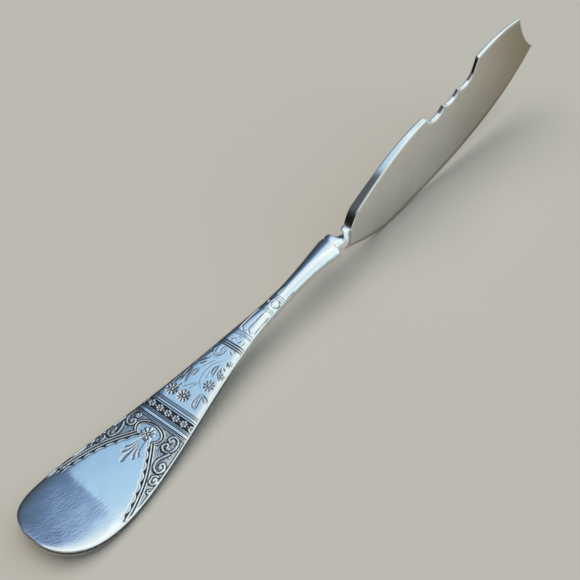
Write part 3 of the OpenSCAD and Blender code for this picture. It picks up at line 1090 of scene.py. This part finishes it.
def make_softbox(name, place, aim, size, colour, radiance):
    """A rectangular lamp whose face has the given radiance, and which isn't mirrored in the metal."""
    lamp = bpy.data.lights.new(name, "AREA")
    lamp.shape = "RECTANGLE"
    lamp.size, lamp.size_y = size
    lamp.color = colour
    lamp.energy = radiance * math.pi * size[0] * size[1]
    softbox = bpy.data.objects.new(name, lamp)
    softbox.location = place
    way = np.subtract(place, aim)
    softbox.rotation_euler = (
        math.atan2(math.hypot(way[0], way[1]), way[2]), 0, math.atan2(way[0], -way[1])
    )
    softbox.visible_glossy = False
    bpy.context.scene.collection.objects.link(softbox)


def soft_step(tree, value, start, end):
    """0 at start and 1 at end, with a smooth change between."""
    return remap(tree, value, start, end, way="SMOOTHSTEP")


def colour_ramp(tree, value, stops):
    """The colour at a value, from stops that are each a value and a colour."""
    low, high = stops[0][0], stops[-1][0]
    ramp = tree.nodes.new("ShaderNodeValToRGB")
    feed(tree, ramp.inputs["Fac"], remap(tree, value, low, high))
    elements = ramp.color_ramp.elements
    while len(elements) < len(stops):
        elements.new(0.5)
    for element, (place, colour) in zip(elements, stops):
        element.position = (place - low) / (high - low)
        element.color = (*colour, 1)
    return ramp.outputs["Color"]


# Colours of the panel of light overhead, by the distance to the right of its left edge, on a level one
# unit above the knife. The panel has a near part and a far one.
near_panel_colours = (
    (-3.2, (0.42, 0.43, 0.43)),
    (-1.9, (0.2, 0.205, 0.21)),
    (-1.0, (0.06, 0.065, 0.068)),
    (-0.35, (0.07, 0.085, 0.11)),
    (-0.12, (0.13, 0.19, 0.3)),
    (-0.03, (0.13, 0.2, 0.36)),
    (0.03, (0.34, 0.56, 0.82)),
    (0.14, (0.45, 0.69, 0.89)),
    (0.28, (0.86, 0.94, 0.96)),
    (0.5, (0.9, 0.97, 0.98)),
    (0.85, (0.74, 0.87, 0.88)),
    (1.5, (0.7, 0.9, 0.96)),
)
far_panel_colours = (
    (-0.6, (0.05, 0.06, 0.065)),
    (-0.16, (0.08, 0.13, 0.2)),
    (-0.04, (0.12, 0.19, 0.34)),
    (0.0, (0.15, 0.26, 0.47)),
    (0.03, (0.25, 0.41, 0.69)),
    (0.08, (0.49, 0.67, 0.9)),
    (0.16, (0.69, 0.85, 0.9)),
    (0.4, (0.97, 1, 1)),
    (0.72, (0.74, 0.87, 0.88)),
    (1.4, (0.7, 0.9, 0.96)),
)
# Colours of the dim room behind, from the horizon to overhead
room_colours = (
    (0.0, (0.01, 0.01, 0.01)),
    (0.3, (0.015, 0.015, 0.016)),
    (0.6, (0.05, 0.055, 0.06)),
    (0.95, (0.1, 0.11, 0.13)),
)
horizon_colour = (0.45, 0.45, 0.44, 1)
ceiling_colour = (0.5, 0.52, 0.54, 1)


def make_world():
    """A dim room under a wide panel of light, which is blue along its left edge."""
    least_up = 0.05
    near_slope, near_start = 0.262, 0.577
    far_slope, far_start = 0.33, 0.45
    seam_slope, seam_start, seam_half_width = 0.92, 1.03, 0.025
    world = bpy.data.worlds.new("studio")
    bpy.context.scene.world = world
    world.use_nodes = True
    tree = world.node_tree
    tree.nodes.clear()
    coordinates = tree.nodes.new("ShaderNodeTexCoord")
    parts = add_node(tree, "ShaderNodeSeparateXYZ", Vector=coordinates.outputs["Generated"])
    along, up = parts.outputs["X"], parts.outputs["Z"]
    height = calculate(tree, "MAXIMUM", up, least_up)
    ahead = calculate(tree, "DIVIDE", along, height)
    left = calculate(tree, "DIVIDE", parts.outputs["Y"], height)

    def right_of_edge(slope, start):
        """The distance to the right of an edge that runs ahead at a slope."""
        return calculate(tree, "SUBTRACT", calculate(tree, "MULTIPLY_ADD", ahead, slope, start), left)

    def both(first, second):
        return calculate(tree, "MULTIPLY", first, second)

    # The panel's near part, which grows brighter ahead, and its far part past a seam
    near_panel = colour_ramp(tree, right_of_edge(near_slope, near_start), near_panel_colours)
    gain = remap(tree, ahead, 0.3, 0.55, 0.96, 1.11)
    near_panel = add_node(
        tree, "ShaderNodeVectorMath", {"operation": "SCALE"}, Vector=near_panel, Scale=gain
    ).outputs[0]
    far_panel = colour_ramp(tree, right_of_edge(far_slope, far_start), far_panel_colours)
    past_seam = calculate(tree, "MULTIPLY_ADD", ahead, seam_slope, left)
    past_seam = soft_step(tree, past_seam, seam_start - seam_half_width, seam_start + seam_half_width)
    panel = blend_colours(tree, past_seam, near_panel, far_panel)

    # The room behind is lighter at its horizon, except behind the handle's tip, and overhead on the right
    room = colour_ramp(tree, up, room_colours)
    at_horizon = both(soft_step(tree, along, -0.8, -0.5), soft_step(tree, up, 0.55, 0))
    room = blend_colours(tree, at_horizon, room, horizon_colour)
    at_ceiling = both(soft_step(tree, left, 0.42, 0.22), soft_step(tree, up, 0.5, 0.75))
    room = blend_colours(tree, at_ceiling, room, ceiling_colour)
    at_panel = both(soft_step(tree, ahead, 0.0, 0.1), soft_step(tree, up, 0.04, 0.2))

    background = add_node(tree, "ShaderNodeBackground", Color=blend_colours(tree, at_panel, room, panel))
    output = tree.nodes.new("ShaderNodeOutputWorld")
    feed(tree, output.inputs["Surface"], background.outputs["Background"])


def make_camera():
    """The camera at the photograph's viewing angle."""
    camera = bpy.data.cameras.new("camera")
    camera.sensor_width = 36
    camera.lens = 55.86
    camera.clip_start = 0.01
    camera_object = bpy.data.objects.new("camera", camera)
    camera_object.location = (-0.1267, -0.08625, 0.15243)
    camera_object.rotation_euler = (math.radians(44), 0, math.radians(-51.8))
    bpy.context.scene.collection.objects.link(camera_object)
    bpy.context.scene.camera = camera_object


make_floor()
make_world()
make_camera()
make_softbox(
    "overhead_softbox",
    place=(-0.3, 0.5, 2.2),
    aim=(0, 0, 0),
    size=(2.4, 2.4),
    colour=(1, 0.93, 0.84),
    radiance=2.31,
)
bpy.context.scene.view_settings.view_transform = "Standard"
